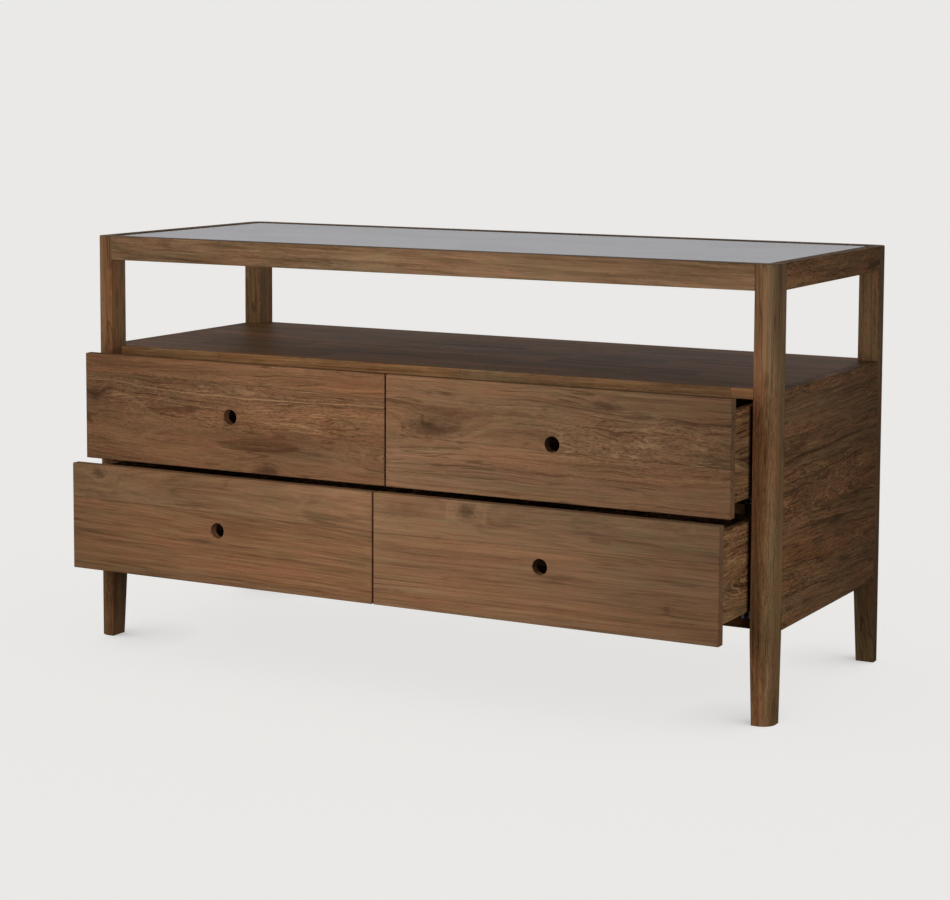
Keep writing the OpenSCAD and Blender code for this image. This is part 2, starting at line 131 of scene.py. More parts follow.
# %% Helpers for noise and groups
def smooth_step(tree, value, low, high, to_low=0.0, to_high=1.0):
    node = tree.nodes.new("ShaderNodeMapRange")
    node.interpolation_type = "SMOOTHSTEP"
    given = {"Value": value, "From Min": low, "From Max": high, "To Min": to_low, "To Max": to_high}
    for name, number in given.items():
        feed(tree, node.inputs[name], number)
    return node.outputs["Result"]


def noise(tree, vector, seed, stretch, detail=2.0, roughness=0.5, output="Fac"):
    scaled = vector_calc(tree, "MULTIPLY", vector, stretch)
    node = tree.nodes.new("ShaderNodeTexNoise")
    node.noise_dimensions = "4D"
    feed(tree, node.inputs["Vector"], scaled)
    feed(tree, node.inputs["W"], seed)
    node.inputs["Scale"].default_value = 1.0
    node.inputs["Detail"].default_value = detail
    node.inputs["Roughness"].default_value = roughness
    return node.outputs[output]


def new_group(name, inputs, outputs):
    tree = bpy.data.node_groups.new(name, "ShaderNodeTree")
    kinds = {float: "NodeSocketFloat", Vector: "NodeSocketVector", tuple: "NodeSocketColor"}
    for label, default in inputs.items():
        socket = tree.interface.new_socket(label, in_out="INPUT", socket_type=kinds[type(default)])
        socket.default_value = default
    for label, kind in outputs.items():
        tree.interface.new_socket(label, in_out="OUTPUT", socket_type=kinds[kind])
    return tree, tree.nodes.new("NodeGroupInput").outputs, tree.nodes.new("NodeGroupOutput").inputs


def place_group(tree, group, **values):
    node = tree.nodes.new("ShaderNodeGroup")
    node.node_tree = group
    for label, value in values.items():
        feed(tree, node.inputs[label.replace("_", " ")], value)
    return node.outputs


print("noise and group helpers ready")

# %% [markdown]
# ## Grain: bent coordinates and year rings
# A plain-sawn board cuts lengthwise through a stack of tubes, the year rings. Where the cut runs
# nearly along a tube it shows long arches, elsewhere straight lines. So the rings are not painted:
# each point asks how far it lies from the pith, the middle of the trunk, and which ring that is.
# The coordinates are first bent by slow noise, because a trunk is never straight. X runs along the
# grain, Y across the board and Z into it. A knot pushes the rings aside as a branch does. The
# contour that the group gives back has the distance from the pith in place of Y, so that what is
# drawn on it flows along the arches. Within a ring the phase runs from 0 to 1: the first wood of a
# good year is a pale edge, and the late wood darkens towards the end, more in some years than in
# others. The dice say how good a year was, always the same for the same ring.

# %% Shader group: grain
BENDS = (((1.3, 4.5, 4.5), 1.0), ((5.0, 19.0, 19.0), 0.3), ((22.0, 75.0, 75.0), 0.07))
RING_DRIFT = 3.0
ACROSS_CONTOUR = 0.25


def dice(tree, socket, value):
    node = tree.nodes.new("ShaderNodeTexWhiteNoise")
    node.noise_dimensions = {"W": "1D", "Vector": "3D"}[socket]
    feed(tree, node.inputs[socket], value)
    return node.outputs


def make_grain_group():
    tree, given, wanted = new_group(
        "grain",
        {
            "Vector": Vector(), "Seed": 0.0, "Pith": Vector((0, 0, -0.1)), "Ring width": 0.006,
            "Wander": 0.02, "Push": 0.0,
        },
        {"Late wood": float, "Pale edge": float, "Bent": Vector, "Contour": Vector},
    )
    bent = given["Vector"]
    for stretch, share in BENDS:
        shift = noise(tree, given["Vector"], given["Seed"], stretch, detail=2, output="Color")
        shift = vector_calc(tree, "SUBTRACT", shift, (0.5, 0.5, 0.5))
        amount = calc(tree, "MULTIPLY", given["Wander"], share)
        bent = vector_calc(tree, "ADD", bent, vector_scale(tree, shift, amount))

    from_pith = vector_calc(tree, "SUBTRACT", bent, given["Pith"])
    from_pith = vector_calc(tree, "MULTIPLY", from_pith, (0.0, 1.0, 1.0))
    radius = calc(tree, "ADD", vector_calc(tree, "LENGTH", from_pith), given["Push"])
    along, across, _ = parts_of(tree, bent)
    contour = vector_of(tree, along, radius, calc(tree, "MULTIPLY", across, ACROSS_CONTOUR))

    ring = calc(tree, "DIVIDE", radius, given["Ring width"])
    uneven = noise(tree, vector_of(tree, ring), given["Seed"], (0.37, 0.0, 0.0), detail=1)
    ring = calc(tree, "MULTIPLY_ADD", uneven, RING_DRIFT, ring)
    year = dice(tree, "W", calc(tree, "FLOOR", ring))["Value"]
    phase = calc(tree, "FRACT", ring)
    rise = smooth_step(tree, phase, 0.5, 0.95)
    fall = smooth_step(tree, phase, 0.94, 1.0)
    dry_year = smooth_step(tree, year, 0.1, 0.9, 0.25, 1.0)
    start = smooth_step(tree, phase, 0.0, 0.02)
    end = smooth_step(tree, phase, 0.03, 0.09)
    good_year = smooth_step(tree, year, 0.45, 0.8)
    late = calc(tree, "SUBTRACT", rise, fall)
    edge = calc(tree, "SUBTRACT", start, end)
    feed(tree, wanted["Late wood"], calc(tree, "MULTIPLY", late, dry_year))
    feed(tree, wanted["Pale edge"], calc(tree, "MULTIPLY", edge, good_year))
    feed(tree, wanted["Bent"], bent)
    feed(tree, wanted["Contour"], contour)
    return tree


grain_group = make_grain_group()
print("grain:", len(grain_group.nodes), "nodes")

# %% [markdown]
# ## Fibres, pores and stain
# Between the rings the wood shows fine lines, which take the stain unevenly and flow with the
# arches. Where the tree grew unquietly the lines curl, pale and dark ones run side by side, and
# open pores crowd: short scratches along the grain, some dark, some filled with pale dust. How
# lively a place is comes from outside and from noise. Minerals leave sparse dark smears, whole
# bands turn from reddish brown to olive, and small flecks are redder or greener than their
# neighbours. A thin line is drawn where a noise passes one half, and the gaps say where lines break
# off.

# %% Shader group: fibres
CURL_WIDTH = 0.006


def thin_lines(tree, vector, seed, stretch):
    level = noise(tree, vector, seed, stretch, detail=1)
    from_middle = calc(tree, "ABSOLUTE", calc(tree, "SUBTRACT", level, 0.5))
    return smooth_step(tree, from_middle, 0.034, 0.008)


def make_fibre_group():
    tree, given, wanted = new_group(
        "fibres",
        {"Vector": Vector(), "Contour": Vector(), "Seed": 0.0, "Lively": 0.5},
        {
            "Streaks": float, "Fine": float, "Ripple": float, "Pores": float, "Dust": float,
            "Mottle": float, "Smears": float, "Hue": float, "Flecks": float, "Gaps": float,
            "Pale lines": float, "Dark lines": float,
        },
    )
    seed = given["Seed"]
    other_seed = calc(tree, "ADD", seed, 5.7)
    patchy = noise(tree, given["Contour"], seed, (2.6, 24.0, 24.0), detail=2)
    crowded = smooth_step(tree, patchy, 0.38, 0.6, 0.25, 1.0)
    crowded = calc(tree, "MULTIPLY", crowded, calc(tree, "ADD", given["Lively"], 0.3), clamp=True)
    curl = noise(tree, given["Vector"], seed, (20.0, 55.0, 55.0), detail=2)
    curl = calc(tree, "SUBTRACT", curl, 0.5)
    curl = calc(tree, "MULTIPLY", curl, calc(tree, "MULTIPLY", crowded, CURL_WIDTH))
    curl = vector_of(tree, 0.0, curl)
    where = vector_calc(tree, "ADD", given["Vector"], curl)
    contour = vector_calc(tree, "ADD", given["Contour"], curl)

    streaks = noise(tree, contour, seed, (2.6, 80.0, 60.0), detail=5, roughness=0.62)
    flowing = noise(tree, contour, seed, (5.5, 700.0, 260.0), detail=4, roughness=0.58)
    straight = noise(tree, where, seed, (6.5, 430.0, 430.0), detail=3, roughness=0.58)
    ripple = noise(tree, where, seed, (45.0, 330.0, 330.0), detail=3, roughness=0.66)
    ripple = calc(tree, "SUBTRACT", ripple, 0.5)
    pores = noise(tree, where, seed, (120.0, 640.0, 640.0), detail=2, roughness=0.6)
    mottle = noise(tree, where, seed, (3.5, 12.0, 12.0), detail=2)
    smears = noise(tree, where, seed, (5.0, 52.0, 52.0), detail=4, roughness=0.62)
    hue = noise(tree, contour, seed, (1.9, 26.0, 20.0), detail=4, roughness=0.55)
    flecks = noise(tree, where, other_seed, (14.0, 80.0, 80.0), detail=4, roughness=0.62)
    gaps = noise(tree, contour, seed, (12.0, 50.0, 50.0), detail=2)
    long_gaps = noise(tree, contour, seed, (4.0, 26.0, 26.0), detail=2)
    pale_lines = thin_lines(tree, contour, seed, (5.0, 250.0, 90.0))
    dark_lines = thin_lines(tree, contour, other_seed, (4.0, 210.0, 80.0))

    results = {
        "Streaks": streaks,
        "Fine": calc(tree, "SUBTRACT", calc(tree, "ADD", flowing, straight), 0.5),
        "Ripple": calc(tree, "MULTIPLY", ripple, crowded),
        "Pores": calc(tree, "MULTIPLY", smooth_step(tree, pores, 0.54, 0.66), crowded),
        "Dust": calc(tree, "MULTIPLY", smooth_step(tree, pores, 0.44, 0.32), crowded),
        "Mottle": mottle,
        "Smears": smooth_step(tree, smears, 0.58, 0.7),
        "Hue": hue,
        "Flecks": flecks,
        "Gaps": smooth_step(tree, long_gaps, 0.38, 0.5),
        "Pale lines": calc(tree, "MULTIPLY", pale_lines, smooth_step(tree, gaps, 0.5, 0.58)),
        "Dark lines": calc(tree, "MULTIPLY", dark_lines, smooth_step(tree, gaps, 0.5, 0.42)),
    }
    for label, result in results.items():
        feed(tree, wanted[label], result)
    return tree


fibre_group = make_fibre_group()
print("fibres:", len(fibre_group.nodes), "nodes")

# %% [markdown]
# ## Knots and lively places
# A knot is the round core of a branch, cut across. Here the branches were thin and overgrown, so
# they show as soft dark smudges with ragged ends, long where the branch lay flat. The rings flow
# round them, which the grain group does when it is told how far to push them. A second group marks
# the part of a board where the grain is lively, as an oval with a soft edge. Noise swings about one
# half, so swing turns it into a push of a wanted reach about a wanted middle, and frays both
# outlines.

# %% Shader groups: knot and lively oval
KNOT_BELL = 0.3
KNOT_PUSH = 0.9
KNOT_STRETCH = (60.0, 170.0, 60.0)
KNOT_RAGGED = 3.0
OVAL_STRETCH = (9.0, 40.0, 40.0)
OVAL_RAGGED = 1.2


def swing(tree, level, reach, middle, clamp=False):
    from_half = calc(tree, "SUBTRACT", level, 0.5)
    return calc(tree, "MULTIPLY_ADD", from_half, reach, middle, clamp=clamp)


def make_knot_group():
    tree, given, wanted = new_group(
        "knot",
        {"Vector": Vector(), "Place": Vector(), "Size": 0.01, "Shape": Vector((0.6, 1.0, 0.0))},
        {"Core": float, "Push": float},
    )
    away = vector_calc(tree, "SUBTRACT", given["Vector"], given["Place"])
    away = vector_calc(tree, "MULTIPLY", away, given["Shape"])
    far = calc(tree, "DIVIDE", vector_calc(tree, "LENGTH", away), given["Size"])
    bell = calc(tree, "MULTIPLY", calc(tree, "MULTIPLY", far, far), -KNOT_BELL)
    bell = calc(tree, "EXPONENT", bell)
    ragged = noise(tree, given["Vector"], seed=3.0, stretch=KNOT_STRETCH, detail=3, roughness=0.6)
    feed(tree, wanted["Core"], smooth_step(tree, swing(tree, ragged, KNOT_RAGGED, far), 1.9, 0.1))
    push = calc(tree, "MULTIPLY", bell, calc(tree, "MULTIPLY", given["Size"], KNOT_PUSH))
    feed(tree, wanted["Push"], push)
    return tree


def make_lively_group():
    tree, given, wanted = new_group(
        "lively oval",
        {"Vector": Vector(), "Place": Vector(), "Reach": Vector((0.3, 0.05, 1.0)), "Least": 0.2},
        {"Lively": float},
    )
    away = vector_calc(tree, "SUBTRACT", given["Vector"], given["Place"])
    far = vector_calc(tree, "LENGTH", vector_calc(tree, "DIVIDE", away, given["Reach"]))
    ragged = noise(tree, given["Vector"], seed=6.0, stretch=OVAL_STRETCH, detail=3)
    far = swing(tree, ragged, OVAL_RAGGED, far)
    feed(tree, wanted["Lively"], smooth_step(tree, far, 1.1, 0.6, given["Least"], 1.0))
    return tree


knot_group = make_knot_group()
lively_group = make_lively_group()
print("knot:", len(knot_group.nodes), "nodes, lively oval:", len(lively_group.nodes))

# %% [markdown]
# ## Glued staves
# Wide boards are glued from narrower staves, and each stave comes from another part of a trunk. The
# staves could be separate pieces, but they lie flush and their joint is finer than a hair. So these
# groups only number the staves, up to three from two edges or many from a regular width and length,
# jump to other grain and another tint in each, and mark the joint.

# %% Shader groups: staves
NO_TINT = (1.0, 1.0, 1.0, 1.0)
STAVE_JUMP = (0.83, 0.021, 0.017)
BLOCK_JUMP = (9.0, 0.16, 0.1)
ROW_OFFSET = 0.618
FIRST_OFFSET = 0.3


def mix_colour(tree, factor, colour_a, colour_b, blend="MIX"):
    node = tree.nodes.new("ShaderNodeMix")
    node.data_type = "RGBA"
    node.blend_type = blend
    feed(tree, node.inputs["Factor"], factor)
    feed(tree, node.inputs["A"], colour_a)
    feed(tree, node.inputs["B"], colour_b)
    return node.outputs["Result"]


def glue_line(tree, distance):
    return smooth_step(tree, distance, 0.0006, 0.0002)


def make_front_stave_group():
    tree, given, wanted = new_group(
        "three staves",
        {
            "Vector": Vector(), "Lower edge": -1.0, "Upper edge": 1.0,
            "Low tint": NO_TINT, "Middle tint": NO_TINT, "High tint": NO_TINT,
        },
        {"Vector": Vector, "Tint": tuple, "Joint": float},
    )
    across = parts_of(tree, given["Vector"])["Y"]
    above_low = calc(tree, "GREATER_THAN", across, given["Lower edge"])
    above_high = calc(tree, "GREATER_THAN", across, given["Upper edge"])
    number = calc(tree, "ADD", above_low, above_high)
    jump = vector_scale(tree, STAVE_JUMP, number)
    tint = mix_colour(tree, above_low, given["Low tint"], given["Middle tint"])
    tint = mix_colour(tree, above_high, tint, given["High tint"])
    to_low = calc(tree, "ABSOLUTE", calc(tree, "SUBTRACT", across, given["Lower edge"]))
    to_high = calc(tree, "ABSOLUTE", calc(tree, "SUBTRACT", across, given["Upper edge"]))
    nearest = calc(tree, "MINIMUM", to_low, to_high)
    feed(tree, wanted["Vector"], vector_calc(tree, "ADD", given["Vector"], jump))
    feed(tree, wanted["Tint"], tint)
    feed(tree, wanted["Joint"], glue_line(tree, nearest))
    return tree


def make_many_stave_group():
    tree, given, wanted = new_group(
        "many staves",
        {
            "Vector": Vector(), "Width": 0.08, "Length": 0.6, "Seed": 0.0,
            "First tint": NO_TINT, "Other tint": NO_TINT,
        },
        {"Vector": Vector, "Tint": tuple, "Joint": float},
    )
    along, across, _ = parts_of(tree, given["Vector"])
    across = calc(tree, "DIVIDE", across, given["Width"])
    across = calc(tree, "ADD", across, given["Seed"])
    row = calc(tree, "FLOOR", across)
    along = calc(tree, "DIVIDE", along, given["Length"])
    along = calc(tree, "MULTIPLY_ADD", row, ROW_OFFSET, along)
    along = calc(tree, "ADD", along, FIRST_OFFSET)
    block = calc(tree, "FLOOR", along)
    chance = dice(tree, "Vector", vector_of(tree, row, block, given["Seed"]))
    jump = vector_calc(tree, "SUBTRACT", chance["Color"], (0.5, 0.5, 0.5))
    jump = vector_calc(tree, "MULTIPLY", jump, BLOCK_JUMP)
    tint = mix_colour(tree, chance["Value"], given["First tint"], given["Other tint"])
    to_edge = calc(tree, "MULTIPLY", calc(tree, "PINGPONG", across, 0.5), given["Width"])
    to_end = calc(tree, "MULTIPLY", calc(tree, "PINGPONG", along, 0.5), given["Length"])
    nearest = calc(tree, "MINIMUM", to_edge, to_end)
    feed(tree, wanted["Vector"], vector_calc(tree, "ADD", given["Vector"], jump))
    feed(tree, wanted["Tint"], tint)
    feed(tree, wanted["Joint"], glue_line(tree, nearest))
    return tree


front_stave_group = make_front_stave_group()
many_stave_group = make_many_stave_group()
print("staves:", len(front_stave_group.nodes), "and", len(many_stave_group.nodes), "nodes")

# %% [markdown]
# ## Tints of the legs and of the shelf's edge, with painted light
# Two groups only tint. Round the outer corner of a leg the cut passes from warm to greyer wood, so
# the first one tints a leg in steps across the corner. It also makes the leg paler above the case:
# painted light, for the brighter light there, where the drawers no longer shade the leg. The strip
# along the front edge of the shelf is joined from paler short pieces, which the second one tints,
# each a little differently, and brightens about twice more: painted light, for the shade that the
# drawer fronts throw on that edge.

# %% Shader groups: corner and lipping
CORNER_WOBBLE = 0.016
CORNER_START = (1.02, 0.9, 0.84, 1.0)
CORNER_STEPS = (
    (-0.031, -0.023, (1.1, 1.06, 1.0, 1.0)),
    (-0.018, -0.009, (0.98, 1.07, 1.13, 1.0)),
    (-0.003, 0.007, (0.87, 0.89, 0.89, 1.0)),
    (0.012, 0.02, (0.94, 0.97, 0.93, 1.0)),
)
# Painted light: the leg turns paler above the case, where the drawers no longer shade it.
PAINTED_LIGHT_ABOVE_CASE = (0.48, 0.62, (1.17, 1.27, 1.4, 1.0))
LIPPING_FACE_Y = -0.2492
LIPPING_PIECES_PER_METRE = 4.6
LIPPING_OFFSET = 0.37
# Paler lipping pieces, brightened about twice more as painted light for the shade of the drawer
# fronts.
LIPPING_TINTS_AND_PAINTED_LIGHT = (1.55, 1.78, 2.2, 1.0), (2.0, 2.2, 2.7, 1.0)


def tinted(tree, colour, tint):
    return mix_colour(tree, 1.0, colour, tint, blend="MULTIPLY")


def make_corner_group():
    tree, given, wanted = new_group(
        "corner tint",
        {"Vector": Vector(), "Outward": Vector((0.0, 1.0, 1.0)), "Object": Vector()},
        {"Tint": tuple},
    )
    wobble = noise(tree, given["Vector"], seed=8.0, stretch=(3.0, 60.0, 60.0), detail=3)
    place = vector_calc(tree, "DOT_PRODUCT", given["Vector"], given["Outward"])
    place = swing(tree, wobble, CORNER_WOBBLE, place)
    tint = CORNER_START
    for starts, ends, next_tint in CORNER_STEPS:
        tint = mix_colour(tree, smooth_step(tree, place, starts, ends), tint, next_tint)
    # Painted light by height: a paler tint above the case instead of more lamp light there.
    starts, ends, painted_upper_light = PAINTED_LIGHT_ABOVE_CASE
    upper = smooth_step(tree, parts_of(tree, given["Object"])["Z"], starts, ends)
    feed(tree, wanted["Tint"], mix_colour(tree, upper, tint, tinted(tree, tint, painted_upper_light)))
    return tree


def make_lipping_group():
    tree, given, wanted = new_group("lipping tint", {"Object": Vector()}, {"Tint": tuple})
    along, depth, _ = parts_of(tree, given["Object"])
    on_edge = calc(tree, "LESS_THAN", depth, LIPPING_FACE_Y)
    piece = calc(tree, "MULTIPLY_ADD", along, LIPPING_PIECES_PER_METRE, LIPPING_OFFSET)
    piece = calc(tree, "FLOOR", piece)
    tint = mix_colour(tree, dice(tree, "W", piece)["Value"], *LIPPING_TINTS_AND_PAINTED_LIGHT)
    feed(tree, wanted["Tint"], mix_colour(tree, on_edge, NO_TINT, tint))
    return tree


corner_and_painted_light_group = make_corner_group()
lipping_and_painted_light_group = make_lipping_group()
print("corner:", len(corner_and_painted_light_group.nodes), "nodes, lipping:", len(lipping_and_painted_light_group.nodes))

# %% [markdown]
# ## Stained wood
# This group brings grain and fibres together. Late wood and streaks take more stain and turn dark.
# The first wood of a good year shows as a thin golden line, broken again and again, where the grain
# is lively. Pores are small pits. The tone runs from 0, the dark colour, to 1, the light one. The
# group gives a colour, a roughness and a height, and each material adds its own shader and bump.

# %% Shader group: stained wood
MIDDLE_TONE = 0.56
TONE_WEIGHTS = (("Streaks", 1.35), ("Fine", 1.35), ("Mottle", 0.6))
RIPPLE_WEIGHT = 1.7
LATE_WOOD_WEIGHT = -0.5
OLIVE, REDDISH, BAND_CONTRAST = (0.86, 0.985, 1.02, 1.0), (1.12, 0.97, 0.85, 1.0), 4.5
GREENER, REDDER, FLECK_CONTRAST = (0.95, 1.035, 0.98, 1.0), (1.05, 0.965, 0.99, 1.0), 3.5
SMEAR_TINT = (0.9, 1.15, 1.35, 1.0)
GOLDEN_TINT = (1.35, 1.45, 1.35, 1.0)
KNOT_TINT = (0.6, 0.65, 0.7, 1.0)
RING_EDGE_SHARE, THIN_PALE_SHARE, DUST_SHARE = 0.8, 0.65, 0.5
THIN_DARK_SHARE, KNOT_SHARE = 0.75, 0.6
ROUGHNESS, ROUGHNESS_BY_TONE, ROUGHNESS_BY_PORE = 0.56, -0.08, 0.15
HEIGHT_BY_FIBRE, HEIGHT_BY_LATE_WOOD, HEIGHT_BY_PORE = 0.5, -0.3, -0.8


def make_wood_group():
    tree, given, wanted = new_group(
        "stained wood",
        {
            "Vector": Vector(), "Seed": 0.0, "Pith": Vector((0, 0, -0.1)), "Ring width": 0.006,
            "Wander": 0.02, "Push": 0.0, "Core": 0.0, "Figure": 0.5, "Streak": 0.5, "Pale": 0.5,
            "Smear": 0.5, "Bands": 0.6, "Speckle": 0.5, "Lines": 0.5, "Lively": 0.5,
            "Light": (0.3, 0.18, 0.1, 1.0), "Dark": (0.06, 0.03, 0.015, 1.0),
        },
        {"Color": tuple, "Roughness": float, "Height": float},
    )
    grain = place_group(
        tree, grain_group, Vector=given["Vector"], Seed=given["Seed"], Pith=given["Pith"],
        Ring_width=given["Ring width"], Wander=given["Wander"], Push=given["Push"],
    )
    fibre = place_group(
        tree, fibre_group, Vector=grain["Bent"], Contour=grain["Contour"], Seed=given["Seed"],
        Lively=given["Lively"],
    )
    tone = MIDDLE_TONE
    for part, weight in TONE_WEIGHTS:
        streak = calc(tree, "MULTIPLY", calc(tree, "SUBTRACT", fibre[part], 0.5), given["Streak"])
        tone = calc(tree, "MULTIPLY_ADD", streak, weight, tone)
    ripple = calc(tree, "MULTIPLY", fibre["Ripple"], given["Speckle"])
    tone = calc(tree, "MULTIPLY_ADD", ripple, RIPPLE_WEIGHT, tone)
    late = calc(tree, "MULTIPLY", grain["Late wood"], given["Figure"])
    late = calc(tree, "MULTIPLY", late, smooth_step(tree, fibre["Mottle"], 0.7, 0.35, 0.2, 1.0))
    tone = calc(tree, "MULTIPLY_ADD", late, LATE_WOOD_WEIGHT, tone, clamp=True)
    colour = mix_colour(tree, tone, given["Dark"], given["Light"])

    band = swing(tree, fibre["Hue"], BAND_CONTRAST, 0.5, clamp=True)
    banded = tinted(tree, colour, mix_colour(tree, band, OLIVE, REDDISH))
    colour = mix_colour(tree, given["Bands"], colour, banded)
    fleck = swing(tree, fibre["Flecks"], FLECK_CONTRAST, 0.5, clamp=True)
    colour = tinted(tree, colour, mix_colour(tree, fleck, GREENER, REDDER))
    smear = calc(tree, "MULTIPLY", fibre["Smears"], given["Smear"])
    colour = mix_colour(tree, smear, colour, tinted(tree, given["Dark"], SMEAR_TINT))

    pale = calc(tree, "MULTIPLY", given["Pale"], fibre["Gaps"])
    pale = calc(tree, "MULTIPLY", grain["Pale edge"], pale)
    pale = calc(tree, "MULTIPLY", pale, given["Lively"])
    pale = calc(tree, "MULTIPLY", pale, RING_EDGE_SHARE)
    thin_pale = calc(tree, "MULTIPLY", given["Lines"], given["Lively"])
    thin_pale = calc(tree, "MULTIPLY", fibre["Pale lines"], thin_pale)
    thin_pale = calc(tree, "MULTIPLY", thin_pale, THIN_PALE_SHARE)
    dust = calc(tree, "MULTIPLY", given["Speckle"], DUST_SHARE)
    dust = calc(tree, "MULTIPLY", fibre["Dust"], dust)
    pale = calc(tree, "MAXIMUM", calc(tree, "MAXIMUM", pale, thin_pale), dust)
    colour = mix_colour(tree, pale, colour, tinted(tree, given["Light"], GOLDEN_TINT))

    thin_dark = calc(tree, "MULTIPLY", given["Lines"], THIN_DARK_SHARE)
    thin_dark = calc(tree, "MULTIPLY", fibre["Dark lines"], thin_dark)
    colour = mix_colour(tree, thin_dark, colour, given["Dark"])
    pores = calc(tree, "MULTIPLY", fibre["Pores"], given["Speckle"])
    colour = mix_colour(tree, pores, colour, given["Dark"])
    core = calc(tree, "MULTIPLY", given["Core"], KNOT_SHARE)
    colour = mix_colour(tree, core, colour, tinted(tree, given["Dark"], KNOT_TINT))

    rough = calc(tree, "MULTIPLY_ADD", tone, ROUGHNESS_BY_TONE, ROUGHNESS)
    rough = calc(tree, "MULTIPLY_ADD", fibre["Pores"], ROUGHNESS_BY_PORE, rough)
    height = calc(tree, "MULTIPLY", late, HEIGHT_BY_LATE_WOOD)
    height = calc(tree, "MULTIPLY_ADD", fibre["Fine"], HEIGHT_BY_FIBRE, height)
    height = calc(tree, "MULTIPLY_ADD", fibre["Pores"], HEIGHT_BY_PORE, height)
    feed(tree, wanted["Color"], colour)
    feed(tree, wanted["Roughness"], rough)
    feed(tree, wanted["Height"], height)
    return tree


wood_group = make_wood_group()
print("stained wood:", len(wood_group.nodes), "nodes")

# %% [markdown]
# ## The way a board lies
# The grain group wants X along the grain, Y across the board and Z into it, measured from the
# board's centre. Turning by right angles is enough, plus a small lean, because sawn boards never
# follow the trunk exactly. That lean is what makes the arches close.

# %% Turn the grain
AXES_OF = {
    "front": Matrix(((1, 0, 0), (0, 0, 1), (0, -1, 0))),
    "flat": Matrix(((1, 0, 0), (0, 1, 0), (0, 0, 1))),
    "side": Matrix(((0, 1, 0), (0, 0, 1), (1, 0, 0))),
    "upright": Matrix(((0, 0, 1), (1, 0, 0), (0, 1, 0))),
}


def centre_of(node_name):
    low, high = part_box(node_name)
    return (Vector(low) + Vector(high)) / 2


def object_place(tree):
    return tree.nodes.new("ShaderNodeTexCoord").outputs["Object"]


def board_vector(tree, lies, centre, lean):
    turn = Euler([math.radians(angle) for angle in lean]).to_matrix() @ AXES_OF[lies]
    mapping = tree.nodes.new("ShaderNodeMapping")
    mapping.inputs["Rotation"].default_value = turn.to_euler()
    mapping.inputs["Location"].default_value = -(turn @ centre)
    feed(tree, mapping.inputs["Vector"], object_place(tree))
    return mapping.outputs[0]


print("ways a board can lie:", ", ".join(AXES_OF))

# %% [markdown]
# ## One wood material for each board
# Every board gets a material of its own, because seed, knots, lively part, tints and staves differ.
# Sharp edges are worn a little on a real board. The mesh could be bevelled, but then every stave
# and notch would need it too, so the shading rounds all edges by about a millimetre. The sheen says
# how much a surface mirrors.

# %% Build wood materials
GLUE_COLOUR, GLUE_SHARE = (0.02, 0.011, 0.006, 1.0), 0.6
EDGE_ROUNDING = 0.0012
GRAIN_DEPTH = 0.0005


def relief(tree, height, strength, depth, normal=None):
    node = tree.nodes.new("ShaderNodeBump")
    node.inputs["Strength"].default_value = strength
    node.inputs["Distance"].default_value = depth
    feed(tree, node.inputs["Height"], height)
    if normal is not None:
        feed(tree, node.inputs["Normal"], normal)
    return node.outputs[0]


def new_material(name):
    material = bpy.data.materials.new(name)
    material.use_nodes = True
    return material, material.node_tree, material.node_tree.nodes["Principled BSDF"]


def wood_material(
    name, lies, centre, seed, lean=(0, 0, 0), staves=None, knots=(), lively=None, tint=None,
    bump=0.25, sheen=0.06, **look
):
    material, tree, shader = new_material(name)
    vector = board_vector(tree, lies, centre, lean)
    push, core = 0.0, 0.0
    for place, size, length in knots:
        where, shape = Vector((*place, 0)), Vector((1 / length, 1, 0))
        knot = place_group(tree, knot_group, Vector=vector, Place=where, Size=size, Shape=shape)
        push = calc(tree, "ADD", knot["Push"], push)
        core = calc(tree, "MAXIMUM", knot["Core"], core)
    if lively:
        place, reach, least = lively
        oval = {"Place": Vector((*place, 0)), "Reach": Vector((*reach, 1)), "Least": least}
        look["Lively"] = place_group(tree, lively_group, Vector=vector, **oval)["Lively"]
    tints = []
    if tint:
        group, values = tint
        if group == corner_and_painted_light_group:
            values = {"Vector": vector, **values}
        tints.append(place_group(tree, group, Object=object_place(tree), **values)["Tint"])
    joint = 0.0
    if staves:
        group = front_stave_group if "Lower_edge" in staves else many_stave_group
        stave = place_group(tree, group, Vector=vector, **staves)
        vector, joint = stave["Vector"], stave["Joint"]
        tints.append(stave["Tint"])
    wood = place_group(tree, wood_group, Vector=vector, Seed=seed, Push=push, Core=core, **look)
    colour = wood["Color"]
    for layer in tints:
        colour = tinted(tree, colour, layer)
    colour = mix_colour(tree, calc(tree, "MULTIPLY", joint, GLUE_SHARE), colour, GLUE_COLOUR)
    rounded = tree.nodes.new("ShaderNodeBevel")
    rounded.samples = 4
    rounded.inputs["Radius"].default_value = EDGE_ROUNDING
    normal = relief(tree, wood["Height"], bump, GRAIN_DEPTH, rounded.outputs[0])
    feed(tree, shader.inputs["Base Color"], colour)
    feed(tree, shader.inputs["Roughness"], wood["Roughness"])
    feed(tree, shader.inputs["Normal"], normal)
    shader.inputs["Specular IOR Level"].default_value = sheen
    return material


print("wood materials can be built")

# %% [markdown]
# ## Legs and rails
# The case is one kind of timber with one stain, so every piece gets the same recipe with its own
# seed, a straight or a figured cut of the trunk and a slightly different tone. Legs and rails are
# single lengths with straight grain. The side rails show more lines and pores than the long ones.
# The sheen is low everywhere, because the real finish is nearly matt. The side rails get a tone of
# their own, lighter and greyer: painted light, for the lamp light that reaches them less and for the
# sheen taken off their tops.

# %% Dress the legs and rails
LEG_TONE = {"Light": (0.275, 0.147, 0.071, 1.0), "Dark": (0.06, 0.027, 0.011, 1.0)}
RAIL_TONE = {"Light": (0.33, 0.195, 0.11, 1.0), "Dark": (0.07, 0.036, 0.017, 1.0)}
